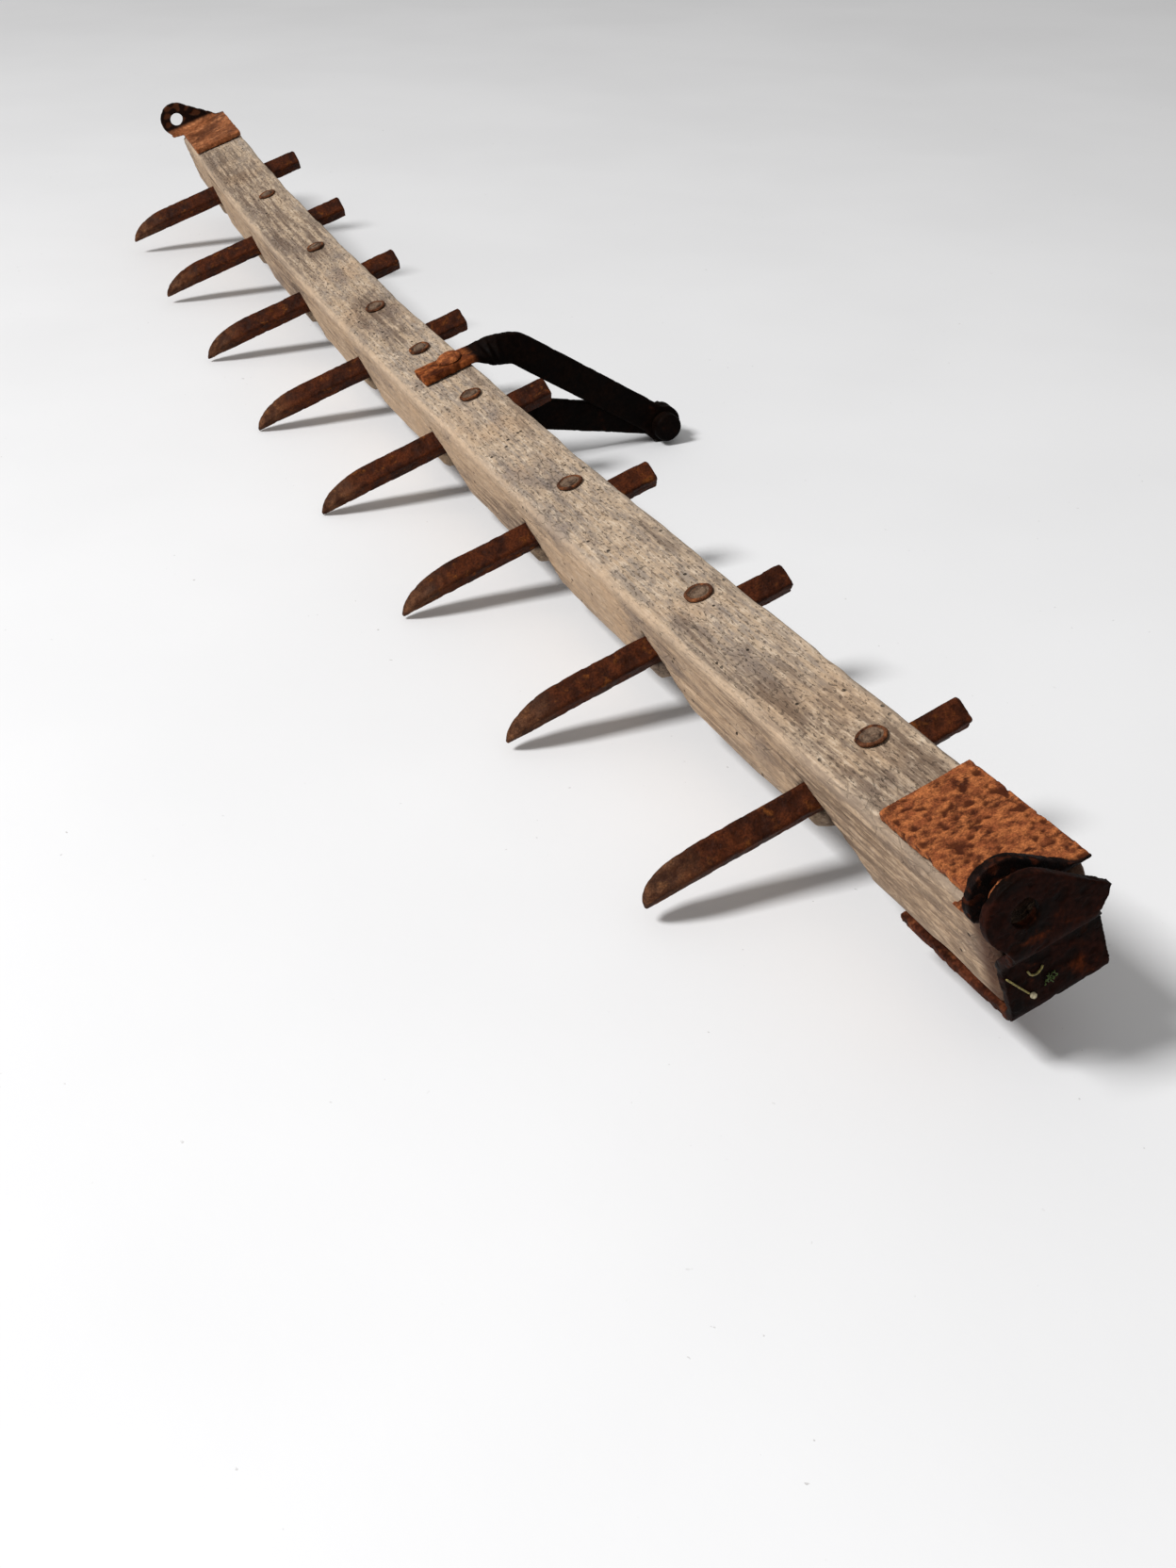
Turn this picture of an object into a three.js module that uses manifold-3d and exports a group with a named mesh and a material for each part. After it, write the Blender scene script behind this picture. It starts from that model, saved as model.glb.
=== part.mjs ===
// One tooth bar of a spike-tooth harrow, lying as it rests when it is off its frame.
// The bar's own frame: +X runs to the single-lug end, +Y to the tooth points, +Z out of the riveted face.
import * as THREE from "three";
import { mergeVertices } from "three/addons/utils/BufferGeometryUtils.js";
import Module from "manifold-3d";

const wasm = await Module();
wasm.setup();

// ---- Driving dimensions, in millimetres ----
const gap = 0.3; // left between pieces that touch

// Wooden bar
const barWidth = 57;
const barDepth = 58.5;
const barEdgeRadius = 6;
const barEndWear = 4; // how far the edges of its ends are worn back
const forkEndOverhang = 174; // from the last tooth to the end of the bar
const lugEndOverhang = 136;
const bowBackForkEnd = 7.5; // how far the warped bar leaves a straight line at its outer teeth
const bowBackLugEnd = 16.7;
const bowUp = 7.2;

// Teeth
const toothCount = 8;
const toothSpacing = 196;
const toothSide = 15.9;
const toothRoll = THREE.MathUtils.degToRad(41); // the square bars stand nearly corner up
const toothDrop = 4.75; // below the bar's middle
const pointReach = 102; // past the bar's side
const pointLength = 46; // the drawn-down end
const pointBluntness = 0.14;
const pointFullness = 2; // 2 draws a point down along an ellipse, more leaves it rounder
const roundPoints = { 1: 2.8 }; // a tooth that is worn rounder than the rest, and its fullness
const buttReach = 41;
const toothCornerChamfer = 1.2;
const toothHoleClearance = 0.3;

// Rivets that keep the bar from splitting
const rivetOffset = 23; // from its tooth, towards the nearer end of the bar
const rivetBack = 6;
const rivetRadius = 3.2;
const rivetHeadRadius = 5;
const rivetHeadHeight = 2.2;
const burrRadius = 8.6;
const burrThickness = 1.6;
const unrivetedTeeth = [8]; // its place is taken by the lug strap

// End straps
const strapThickness = 6;
const strapWidth = 53;
const strapOffset = -1;
const coverWidth = 54; // of the strap over the fork end of the bar
const coverOffset = 2.5;
const coverCornerRise = 3; // the outer ear's corner stands this far above the riveted face
const footLength = 92;
const forkEyeForward = 19.5; // the pivot holes, from the bar's middle
const forkEyeHeight = 43.75;
const lugEyeForward = 25; // set further out, because the warp carries this end back
const lugEyeHeight = 47.25;
const eyeRadius = 18;
const coverEyeRadius = 20;
const eyeHoleRadius = 7;
const forkSlot = 11; // between the ears
const jogStart = 4; // where the strap over the fork end begins to step out
const jogRise = 17;
const bendRadius = 8;
const strapRivetRadius = 4;
const strapRivetHeadRadius = 7;
const strapRivetHeadDepth = 3.6;
const strapRivetPlaces = [30, 66]; // from the end of the bar

// Link bracket
const bracketPlace = -61; // from the middle of the row of teeth
const armWidth = 25;
const armThickness = 7;
const footForward = 14;
const upperKnee = 65;
const upperSag = 10.5; // the upper arm drops this far while it twists
const lowerKnee = 52;
const kneeRadius = 22;
const linkReach = 164;
const linkDrop = 100.75;
const linkDrift = 13; // the eye stands this far towards the lug end from the foot
const linkEyeRadius = 15.5;
const linkPinRadius = 6.5;
const linkPinClearance = 0.08;
const linkHeadRadius = 11.5;
const linkHeadThickness = 11;
const linkNutSide = 19;
const linkNutThickness = 10;
const linkPinTail = 5;
const footBoltBack = 13;
const footBoltRadius = 4.8;
const footBoltHeadRadius = 10.5;
const footBoltHeadHeight = 5;
const footNutSide = 17;
const footNutThickness = 8;
const footBoltTail = 4;
const holeClearance = 0.4;

// ---- Places that follow from them ----
const halfRow = ((toothCount - 1) * toothSpacing) / 2;
const forkEnd = -halfRow - forkEndOverhang;
const lugEnd = halfRow + lugEndOverhang;
const topFace = barDepth / 2;
const sideFace = barWidth / 2;
const round = 40; // facets of a round hole or pin

const forkEye = new THREE.Vector2(forkEyeForward, forkEyeHeight);
const lugEye = new THREE.Vector2(lugEyeForward, lugEyeHeight);

const wood = finish(0x8f8272, 0.95, 0);
const toothIron = finish(0x5a3a26, 0.8, 0.35);
const strapRust = finish(0x9c5a34, 0.9, 0.15);
const bracketIron = finish(0x2e211c, 0.75, 0.4);
const rivetIron = finish(0x7a523a, 0.85, 0.25);

function finish(color, roughness, metalness) {
  return new THREE.MeshStandardMaterial({ color, roughness, metalness });
}

// ---- Solids ----
function solidFrom(geometry) {
  const bare = geometry.index ? geometry.toNonIndexed() : geometry.clone();
  bare.deleteAttribute("normal");
  bare.deleteAttribute("uv");
  const merged = mergeVertices(bare, 1e-4);
  const made = new wasm.Mesh({
    numProp: 3,
    vertProperties: merged.attributes.position.array,
    triVerts: new Uint32Array(merged.index.array),
  });
  return new wasm.Manifold(made);
}

function geometryFrom(solid) {
  const made = solid.getMesh();
  const geometry = new THREE.BufferGeometry();
  geometry.setAttribute("position", new THREE.BufferAttribute(made.vertProperties, 3));
  geometry.setIndex(new THREE.BufferAttribute(made.triVerts, 1));
  return geometry;
}

function cut(solid, tools) {
  return tools.reduce((left, tool) => left.subtract(solidFrom(tool)), solid);
}

// A skin over matching rings of points, closed flat at both ends; each ring turns
// anticlockwise about the direction in which the rings advance.
function loft(rings) {
  const count = rings[0].length;
  const positions = rings.flat().flatMap((p) => [p.x, p.y, p.z]);
  const faces = [];
  for (let ring = 0; ring + 1 < rings.length; ring++) {
    for (let i = 0; i < count; i++) {
      const a = ring * count + i;
      const b = ring * count + ((i + 1) % count);
      faces.push(a, b, b + count, a, b + count, a + count);
    }
  }
  const last = (rings.length - 1) * count;
  for (let i = 1; i + 1 < count; i++) {
    faces.push(0, i + 1, i, last, last + i, last + i + 1);
  }
  const geometry = new THREE.BufferGeometry();
  geometry.setAttribute("position", new THREE.Float32BufferAttribute(positions, 3));
  geometry.setIndex(faces);
  return geometry;
}

// Outlines are drawn in two of the bar's axes and extruded along the third.
function extrudeAlongX(shape, from, to) {
  const geometry = new THREE.ExtrudeGeometry(shape, { depth: to - from, bevelEnabled: false });
  geometry.translate(0, 0, from);
  return geometry.applyMatrix4(axes([0, 1, 0], [0, 0, 1], [1, 0, 0]));
}

function extrudeAlongY(shape, from, to) {
  const geometry = new THREE.ExtrudeGeometry(shape, { depth: to - from, bevelEnabled: false });
  geometry.translate(0, 0, -to);
  return geometry.applyMatrix4(axes([1, 0, 0], [0, 0, 1], [0, -1, 0]));
}

function axes(x, y, z) {
  return new THREE.Matrix4().makeBasis(
    new THREE.Vector3(...x),
    new THREE.Vector3(...y),
    new THREE.Vector3(...z),
  );
}

function cylinderAlongX(radius, from, to, y, z) {
  const geometry = new THREE.CylinderGeometry(radius, radius, to - from, round);
  return geometry.rotateZ(Math.PI / 2).translate((from + to) / 2, y, z);
}

function cylinderAlongZ(radius, from, to, x, y) {
  const geometry = new THREE.CylinderGeometry(radius, radius, to - from, round);
  return geometry.rotateX(Math.PI / 2).translate(x, y, (from + to) / 2);
}

// A turned piece on the Z axis, from a list of [radius, height] that starts and ends on the axis.
function turned(profile, facets = 28) {
  const points = profile.map(([radius, height]) => new THREE.Vector2(radius, height));
  return new THREE.LatheGeometry(points, facets).rotateX(Math.PI / 2);
}

// A dome's outline from its rim to its top, as [radius, height] steps.
function dome(radius, foot, height, steps = 4) {
  const points = [];
  for (let i = 0; i <= steps; i++) {
    const angle = ((i / steps) * Math.PI) / 2;
    points.push([i === steps ? 0 : radius * Math.cos(angle), foot + height * Math.sin(angle)]);
  }
  return points;
}

// ---- The warped line of the bar ----
// Between the outer teeth it is a parabola on each side of the middle; past them it runs straight.
function bowAt(x) {
  const share = Math.abs(x) / halfRow;
  const back = x < 0 ? bowBackForkEnd : bowBackLugEnd;
  const bend = share < 1 ? share * share : 2 * share - 1;
  const slope = (Math.sign(x) * 2 * Math.min(share, 1)) / halfRow;
  return { y: -back * bend, z: bowUp * bend, slopeY: -back * slope, slopeZ: bowUp * slope };
}

function stationMatrix(x) {
  const bow = bowAt(x);
  const along = new THREE.Vector3(1, bow.slopeY, bow.slopeZ).normalize();
  const across = new THREE.Vector3(0, 1, 0).addScaledVector(along, -along.y).normalize();
  const up = new THREE.Vector3().crossVectors(along, across);
  return new THREE.Matrix4().makeBasis(along, across, up).setPosition(x, bow.y, bow.z);
}

// A group that stands at a place along the bar and leans with it there.
function station(x) {
  const group = new THREE.Group();
  group.applyMatrix4(stationMatrix(x));
  return group;
}

function toothPlace(tooth) {
  return -halfRow + tooth * toothSpacing;
}

// ---- Wooden bar ----
function roundedRectangle(width, depth, radius) {
  const points = [];
  const corners = [
    [1, -1, -90],
    [1, 1, 0],
    [-1, 1, 90],
    [-1, -1, 180],
  ];
  const steps = 4;
  for (const [side, rise, start] of corners) {
    for (let i = 0; i <= steps; i++) {
      const angle = THREE.MathUtils.degToRad(start + (90 * i) / steps);
      points.push([
        side * (width / 2 - radius) + radius * Math.cos(angle),
        rise * (depth / 2 - radius) + radius * Math.sin(angle),
      ]);
    }
  }
  return points;
}

function barRing(x, worn = 0) {
  const matrix = stationMatrix(x);
  const outline = roundedRectangle(barWidth - 2 * worn, barDepth - 2 * worn, barEdgeRadius);
  return outline.map(([y, z]) => new THREE.Vector3(0, y, z).applyMatrix4(matrix));
}

function barRings() {
  const rings = [barRing(forkEnd, barEndWear), barRing(forkEnd + barEndWear)];
  const stepsPerGap = 4;
  for (let i = 0; i <= (toothCount - 1) * stepsPerGap; i++) {
    rings.push(barRing(-halfRow + (i * toothSpacing) / stepsPerGap));
  }
  rings.push(barRing(lugEnd - barEndWear), barRing(lugEnd, barEndWear));
  return rings;
}

function barGeometry() {
  const holes = [];
  for (let tooth = 0; tooth < toothCount; tooth++) {
    const reach = barWidth;
    const ring = (y) => toothRing(y, 1, toothHoleClearance);
    holes.push(loft([ring(-reach), ring(reach)]).applyMatrix4(stationMatrix(toothPlace(tooth))));
  }
  for (const x of rivetPlaces()) {
    const hole = cylinderAlongZ(rivetRadius + gap, -barDepth, barDepth, 0, -rivetBack);
    holes.push(hole.applyMatrix4(stationMatrix(x)));
  }
  for (const [end, inward] of [[forkEnd, 1], [lugEnd, -1]]) {
    for (const place of strapRivetPlaces) {
      const hole = cylinderAlongZ(strapRivetRadius + gap, -barDepth, barDepth, inward * place, strapOffset);
      holes.push(hole.applyMatrix4(stationMatrix(end)));
    }
  }
  holes.push(footBoltHole(-barDepth, barDepth).applyMatrix4(bracketMatrix()));
  return geometryFrom(cut(solidFrom(loft(barRings())), holes));
}

// ---- Teeth ----
// The square of a tooth at one place along it, shrunk towards its lowest corner by a scale.
function toothRing(y, scale, grown = 0) {
  const half = toothSide / 2 + grown;
  const chamfer = grown ? 0 : toothCornerChamfer;
  const flat = half - chamfer;
  const square = [
    [flat, half],
    [half, flat],
    [half, -flat],
    [flat, -half],
    [-flat, -half],
    [-half, -flat],
    [-half, flat],
    [-flat, half],
  ];
  const corners = grown ? square.filter((_, i) => i % 2) : square;
  const low = -lowestCorner(half);
  return corners.map(([a, b]) => {
    const x = a * Math.cos(toothRoll) - b * Math.sin(toothRoll);
    const z = a * Math.sin(toothRoll) + b * Math.cos(toothRoll);
    return new THREE.Vector3(x * scale, y, low + (z - low) * scale - toothDrop);
  });
}

function lowestCorner(half) {
  return half * (Math.sin(toothRoll) + Math.cos(toothRoll));
}

function toothGeometry(fullness) {
  const butt = -sideFace - buttReach;
  const tip = sideFace + pointReach;
  const shoulder = tip - pointLength;
  const rings = [toothRing(butt, 0.9), toothRing(butt + 1.5, 1), toothRing(shoulder, 1)];
  const steps = 9;
  for (let i = 1; i <= steps; i++) {
    const turn = ((i / steps) * Math.PI) / 2;
    const along = Math.sin(turn) ** (2 / fullness);
    const scale = Math.max(Math.cos(turn) ** (2 / fullness), pointBluntness);
    rings.push(toothRing(shoulder + pointLength * along, scale));
  }
  return loft(rings);
}

// ---- Rivets through the bar ----
function rivetPlaces() {
  const places = [];
  for (let tooth = 0; tooth < toothCount; tooth++) {
    const outward = tooth < toothCount / 2 ? -1 : 1;
    if (!unrivetedTeeth.includes(tooth + 1)) {
      places.push(toothPlace(tooth) + outward * rivetOffset);
    }
  }
  places.push(0);
  return places.sort((a, b) => a - b);
}

function rivetGeometry() {
  const head = topFace + gap + burrThickness + gap;
  return turned([
    [0, -topFace - gap - rivetHeadHeight],
    [rivetHeadRadius * 0.8, -topFace - gap - rivetHeadHeight],
    [rivetHeadRadius * 1.3, -topFace - gap],
    [rivetRadius, -topFace - gap],
    [rivetRadius, head],
    ...dome(rivetHeadRadius, head, rivetHeadHeight),
  ]);
}

function burrGeometry() {
  const hole = rivetRadius + gap;
  const foot = topFace + gap;
  const edge = 0.4;
  return turned([
    [hole, foot],
    [burrRadius, foot],
    [burrRadius, foot + burrThickness - edge],
    [burrRadius - edge, foot + burrThickness],
    [hole, foot + burrThickness],
    [hole, foot],
  ]);
}

// ---- Bent strip work ----
// A line of [a, b] points with every inner corner replaced by an arc.
function roundedLine(points, radius, steps = 6) {
  const line = [points[0]];
  for (let i = 1; i + 1 < points.length; i++) {
    const corner = new THREE.Vector2(...points[i]);
    const before = new THREE.Vector2(...points[i - 1]).sub(corner).normalize();
    const after = new THREE.Vector2(...points[i + 1]).sub(corner).normalize();
    const half = Math.acos(THREE.MathUtils.clamp(before.dot(after), -1, 1)) / 2;
    const centre = before.clone().add(after).normalize().multiplyScalar(radius / Math.sin(half)).add(corner);
    const start = before.clone().multiplyScalar(radius / Math.tan(half)).add(corner).sub(centre);
    const turn = Math.sign(start.cross(corner.clone().sub(centre))) * (Math.PI - 2 * half);
    for (let step = 0; step <= steps; step++) {
      const point = start.clone().rotateAround(new THREE.Vector2(), (turn * step) / steps).add(centre);
      line.push([point.x, point.y]);
    }
  }
  line.push(points[points.length - 1]);
  return line;
}

// The direction across a line at each of its points.
function lineNormals(line) {
  return line.map((_, i) => {
    const from = new THREE.Vector2(...line[Math.max(i - 1, 0)]);
    const to = new THREE.Vector2(...line[Math.min(i + 1, line.length - 1)]);
    const along = to.sub(from).normalize();
    return new THREE.Vector2(-along.y, along.x);
  });
}

// The edge view of a strip of constant thickness along a line.
function stripShape(line, thickness) {
  const normals = lineNormals(line);
  const side = (sign) =>
    line.map(([a, b], i) => {
      const offset = normals[i].clone().multiplyScalar((sign * thickness) / 2);
      return new THREE.Vector2(a + offset.x, b + offset.y);
    });
  return new THREE.Shape([...side(1), ...side(-1).reverse()]);
}

// ---- End straps ----
// The face view of an ear: a straight edge rises from a corner to the round eye, which comes
// back down to the base below it.
function earShape(eye, radius, corner, base, floor) {
  const fromEye = new THREE.Vector2(...corner).sub(eye);
  const tangent = fromEye.angle() - Math.acos(radius / fromEye.length());
  const returnAngle = THREE.MathUtils.degToRad(-48);
  const shape = new THREE.Shape();
  shape.moveTo(floor[0][0], floor[0][1]);
  shape.lineTo(corner[0], corner[1]);
  shape.absarc(eye.x, eye.y, radius, tangent, returnAngle, true);
  shape.lineTo(base[0], base[1]);
  floor.slice(1).forEach(([y, z]) => shape.lineTo(y, z));
  return shape;
}

// The strap whose foot lies on the riveted face and whose end turns up into an ear past the wood.
function topStrapGeometry(inward, eye) {
  const half = strapThickness / 2;
  const level = topFace + gap + half;
  const face = -gap - half;
  const top = eye.y + eyeRadius + strapThickness;
  const line = roundedLine([[footLength, level], [face, level], [face, top]], bendRadius);
  const strip = stripShape(line.map(([x, z]) => [inward * x, z]), strapThickness);
  const low = strapOffset - strapWidth / 2;
  const high = strapOffset + strapWidth / 2;
  const under = topFace - strapThickness;
  const ear = earShape(eye, eyeRadius, [low, level - half], [high, level], [[low, under], [high, under]]);
  const earReach = bendRadius + strapThickness;
  const earCut = solidFrom(extrudeAlongX(ear, -earReach, earReach));
  const foot = solidFrom(extrudeAlongY(strip, low, high + eyeRadius));
  const footCut = new THREE.Shape();
  const inner = inward * (footLength + strapThickness);
  const outer = inward * (face - strapThickness);
  footCut.moveTo(outer, under);
  footCut.lineTo(inner, under);
  footCut.lineTo(inner, level + half);
  footCut.lineTo(outer, level + half);
  const flat = foot.intersect(solidFrom(extrudeAlongY(footCut, low, high)));
  const upright = foot.intersect(earCut);
  const joined = upright.add(flat);
  return geometryFrom(cut(joined, [eyeHole(eye), ...strapRivetPlaces.map((at) => sunkHole(inward * at, 1))]));
}

// The strap under the fork end: it covers the end of the bar, steps out and ends in the outer ear.
function forkStrapGeometry() {
  const level = -topFace - gap - strapThickness / 2;
  const face = -gap - strapThickness / 2;
  const outer = face - forkSlot - strapThickness;
  const top = forkEye.y + coverEyeRadius + strapThickness;
  const line = roundedLine(
    [
      [footLength, level],
      [face, level],
      [face, jogStart],
      [outer, jogStart + jogRise],
      [outer, top],
    ],
    bendRadius,
  );
  const low = coverOffset - coverWidth / 2;
  const high = coverOffset + coverWidth / 2;
  const bottom = level - strapThickness;
  const step = jogStart + jogRise;
  const waist = [low + coverWidth / 6, step];
  const corner = [low, topFace + coverCornerRise];
  const outline = earShape(forkEye, coverEyeRadius, corner, [high, step], [waist, [high, bottom]]);
  outline.lineTo(low, bottom);
  outline.lineTo(low, jogStart);
  const strip = solidFrom(extrudeAlongY(stripShape(line, strapThickness), low, high + coverEyeRadius));
  const shaped = strip.intersect(solidFrom(extrudeAlongX(outline, outer - strapThickness, footLength)));
  return geometryFrom(cut(shaped, [eyeHole(forkEye), ...strapRivetPlaces.map((at) => sunkHole(at, -1))]));
}

function eyeHole(eye) {
  const reach = forkSlot + 3 * strapThickness;
  return cylinderAlongX(eyeHoleRadius, -reach, reach, eye.x, eye.y);
}

// The countersunk hole of a strap rivet, in the strap above (side 1) or below (side -1) the bar.
function sunkHole(x, side) {
  const inner = topFace - strapThickness;
  const outer = topFace + gap + strapThickness;
  const beyond = 1;
  const profile = [
    [0, inner],
    [strapRivetRadius + gap, inner],
    [strapRivetRadius + gap, outer - strapRivetHeadDepth - gap],
    [strapRivetHeadRadius + gap, outer],
    [strapRivetHeadRadius + gap, outer + beyond],
    [0, outer + beyond],
  ];
  const hole = turned(profile);
  if (side < 0) hole.rotateX(Math.PI);
  return hole.translate(x, strapOffset, 0);
}

// A rivet closed flush with the strap on top, and flush below too or over a burr.
function strapRivetGeometry(flushBelow) {
  const outer = topFace + gap + strapThickness;
  const below = flushBelow
    ? [
        [0, -outer],
        [strapRivetHeadRadius, -outer],
        [strapRivetRadius, -outer + strapRivetHeadDepth],
      ]
    : [
        [0, -topFace - burrThickness - 2 * gap - rivetHeadHeight],
        [rivetHeadRadius, -topFace - burrThickness - 2 * gap - rivetHeadHeight],
        [strapRivetHeadRadius, -topFace - burrThickness - 2 * gap],
        [strapRivetRadius, -topFace - burrThickness - 2 * gap],
      ];
  return turned([
    ...below,
    [strapRivetRadius, outer - strapRivetHeadDepth],
    [strapRivetHeadRadius, outer],
    [0, outer],
  ]);
}

function strapBurrGeometry() {
  const hole = strapRivetRadius + gap;
  const face = -topFace - gap;
  return turned([
    [hole, face - burrThickness],
    [burrRadius + 1, face - burrThickness],
    [burrRadius + 1, face],
    [hole, face],
    [hole, face - burrThickness],
  ]);
}

// ---- Link bracket ----
function bracketMatrix() {
  const bow = bowAt(bracketPlace);
  return new THREE.Matrix4().makeTranslation(bracketPlace, bow.y, bow.z);
}

function footBoltHole(from, to) {
  return cylinderAlongZ(footBoltRadius + holeClearance, from, to, 0, -footBoltBack);
}

// A flat bar that lies on the wood, turns a quarter in its length and runs down to the link eye.
// side is 1 for the arm on the riveted face and -1 for the arm below the bar.
function armGeometry(side, knee, sag = 0) {
  const level = side * (topFace + gap + armThickness / 2);
  const bends = [[-footForward, level], [sideFace, level], [knee, level - sag], [linkReach, -linkDrop]];
  const line = roundedLine(sag ? bends : bends.filter((_, i) => i !== 1), kneeRadius, 10);
  const path = finerLine(line, 9);
  const normals = lineNormals(path);
  const twistStart = sideFace;
  const twistLength = 38;
  const lean = (-side * (armThickness + gap)) / 2;
  let travelled = 0;
  const rings = path.map(([reach, z], i) => {
    if (i) travelled += Math.hypot(reach - path[i - 1][0], z - path[i - 1][1]);
    const share = THREE.MathUtils.smoothstep(travelled - footForward, twistStart, twistStart + twistLength);
    const turn = (share * Math.PI) / 2;
    const normal = new THREE.Vector3(0, -normals[i].x, normals[i].y);
    const sideways = new THREE.Vector3(1, 0, 0);
    const wide = sideways.clone().multiplyScalar(Math.cos(turn)).addScaledVector(normal, Math.sin(turn));
    const thick = normal.clone().multiplyScalar(Math.cos(turn)).addScaledVector(sideways, -Math.sin(turn));
    const centre = new THREE.Vector3(lean * share, -reach, z);
    return armRing(centre, wide, thick);
  });
  const near = linkDrift + lean - armThickness / 2;
  const eye = cylinderAlongX(linkEyeRadius, near, near + armThickness, -linkReach, -linkDrop);
  const pinHole = linkPinRadius + linkPinClearance;
  const from = near - 2 * armThickness;
  const to = near + 3 * armThickness;
  const hole = cylinderAlongX(pinHole, from, to, -linkReach, -linkDrop);
  const arm = solidFrom(loft(rings)).add(solidFrom(eye));
  return geometryFrom(cut(arm, [hole, footBoltHole(-barDepth, barDepth)]));
}

// The section of a flat bar with its edges eased.
function armRing(centre, wide, thick) {
  const w = armWidth / 2;
  const t = armThickness / 2;
  const ease = 1.2;
  const outline = [
    [w - ease, -t],
    [w, -t + ease],
    [w, t - ease],
    [w - ease, t],
    [-w + ease, t],
    [-w, t - ease],
    [-w, -t + ease],
    [-w + ease, -t],
  ];
  return outline.map(([a, b]) => {
    const point = centre.clone().addScaledVector(wide, a).addScaledVector(thick, b);
    point.x += armDrift(-point.y);
    return point;
  });
}

// How far an arm has moved towards the lug end at a reach, steady until just before the eye.
function armDrift(reach) {
  const start = sideFace;
  const end = linkReach - 1.3 * linkEyeRadius;
  return linkDrift * THREE.MathUtils.clamp((reach - start) / (end - start), 0, 1);
}

// The same line with no step longer than a limit.
function finerLine(line, longest) {
  const fine = [line[0]];
  for (let i = 1; i < line.length; i++) {
    const [fromA, fromB] = line[i - 1];
    const [toA, toB] = line[i];
    const steps = Math.ceil(Math.hypot(toA - fromA, toB - fromB) / longest);
    for (let step = 1; step <= steps; step++) {
      const share = step / steps;
      fine.push([fromA + (toA - fromA) * share, fromB + (toB - fromB) * share]);
    }
  }
  return fine;
}

function footBoltGeometry() {
  const seat = topFace + 2 * gap + armThickness;
  const end = -seat - footNutThickness - footBoltTail;
  return turned([
    [0, end],
    [footBoltRadius - 0.8, end],
    [footBoltRadius, end + 0.8],
    [footBoltRadius, seat],
    ...dome(footBoltHeadRadius, seat, footBoltHeadHeight),
  ]);
}

function squareNut(side, thickness, hole) {
  const shape = new THREE.Shape(
    roundedRectangle(side, side, 1.5).map(([a, b]) => new THREE.Vector2(a, b)),
  );
  shape.holes.push(new THREE.Path().absarc(0, 0, hole, 0, 2 * Math.PI));
  return new THREE.ExtrudeGeometry(shape, { depth: thickness, bevelEnabled: false, curveSegments: 20 });
}

function linkPinGeometry() {
  const face = armThickness + gap / 2;
  const playAtHead = 0.5;
  const head = -face - playAtHead;
  const end = face + gap + linkNutThickness + linkPinTail;
  const edge = 1.6;
  const pin = turned(
    [
      [0, head - linkHeadThickness],
      [linkHeadRadius - edge, head - linkHeadThickness],
      [linkHeadRadius, head - linkHeadThickness + edge],
      [linkHeadRadius, head - edge / 2],
      [linkHeadRadius - edge / 2, head],
      [linkPinRadius, head],
      [linkPinRadius, end - edge],
      [linkPinRadius - edge, end],
      [0, end],
    ],
    round,
  );
  return pin.rotateY(Math.PI / 2).translate(linkDrift, -linkReach, -linkDrop);
}

function linkNutGeometry() {
  const start = linkDrift + armThickness + 1.5 * gap;
  const nut = squareNut(linkNutSide, linkNutThickness, linkPinRadius + gap);
  return nut.rotateY(Math.PI / 2).translate(start, -linkReach, -linkDrop);
}

// ---- Assembly ----
const row = new THREE.Group();

function add(name, geometry, material, parent = row) {
  const mesh = new THREE.Mesh(geometry, material.clone());
  mesh.name = name;
  parent.add(mesh);
  return mesh;
}

add("wooden_bar", barGeometry(), wood);

for (let tooth = 0; tooth < toothCount; tooth++) {
  const place = station(toothPlace(tooth));
  row.add(place);
  const fullness = roundPoints[tooth + 1] ?? pointFullness;
  add(`tooth_${tooth + 1}`, toothGeometry(fullness), toothIron, place);
}

rivetPlaces().forEach((x, i) => {
  const place = station(x);
  row.add(place);
  add(`bar_rivet_${i + 1}`, rivetGeometry(), rivetIron, place).position.y = -rivetBack;
  add(`bar_rivet_burr_${i + 1}`, burrGeometry(), rivetIron, place).position.y = -rivetBack;
});

const forkStation = station(forkEnd);
const lugStation = station(lugEnd);
row.add(forkStation, lugStation);
add("fork_inner_strap", topStrapGeometry(1, forkEye), strapRust, forkStation);
add("fork_outer_strap", forkStrapGeometry(), strapRust, forkStation);
add("lug_strap", topStrapGeometry(-1, lugEye), strapRust, lugStation);
strapRivetPlaces.forEach((place, i) => {
  const forkRivet = add(`fork_strap_rivet_${i + 1}`, strapRivetGeometry(true), strapRust, forkStation);
  const lugRivet = add(`lug_strap_rivet_${i + 1}`, strapRivetGeometry(false), strapRust, lugStation);
  const burr = add(`lug_strap_burr_${i + 1}`, strapBurrGeometry(), rivetIron, lugStation);
  forkRivet.position.set(place, strapOffset, 0);
  lugRivet.position.set(-place, strapOffset, 0);
  burr.position.set(-place, strapOffset, 0);
});

const bracket = new THREE.Group();
bracket.applyMatrix4(bracketMatrix());
row.add(bracket);
add("bracket_upper_arm", armGeometry(1, upperKnee, upperSag), bracketIron, bracket);
add("bracket_lower_arm", armGeometry(-1, lowerKnee), bracketIron, bracket);
add("bracket_bolt", footBoltGeometry(), rivetIron, bracket).position.y = -footBoltBack;
const footNut = squareNut(footNutSide, footNutThickness, footBoltRadius + gap);
const footNutPlace = -topFace - 2 * gap - armThickness - footNutThickness;
add("bracket_nut", footNut, bracketIron, bracket).position.set(0, -footBoltBack, footNutPlace);
add("link_pin", linkPinGeometry(), bracketIron, bracket);
add("link_pin_nut", linkNutGeometry(), bracketIron, bracket);

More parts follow.
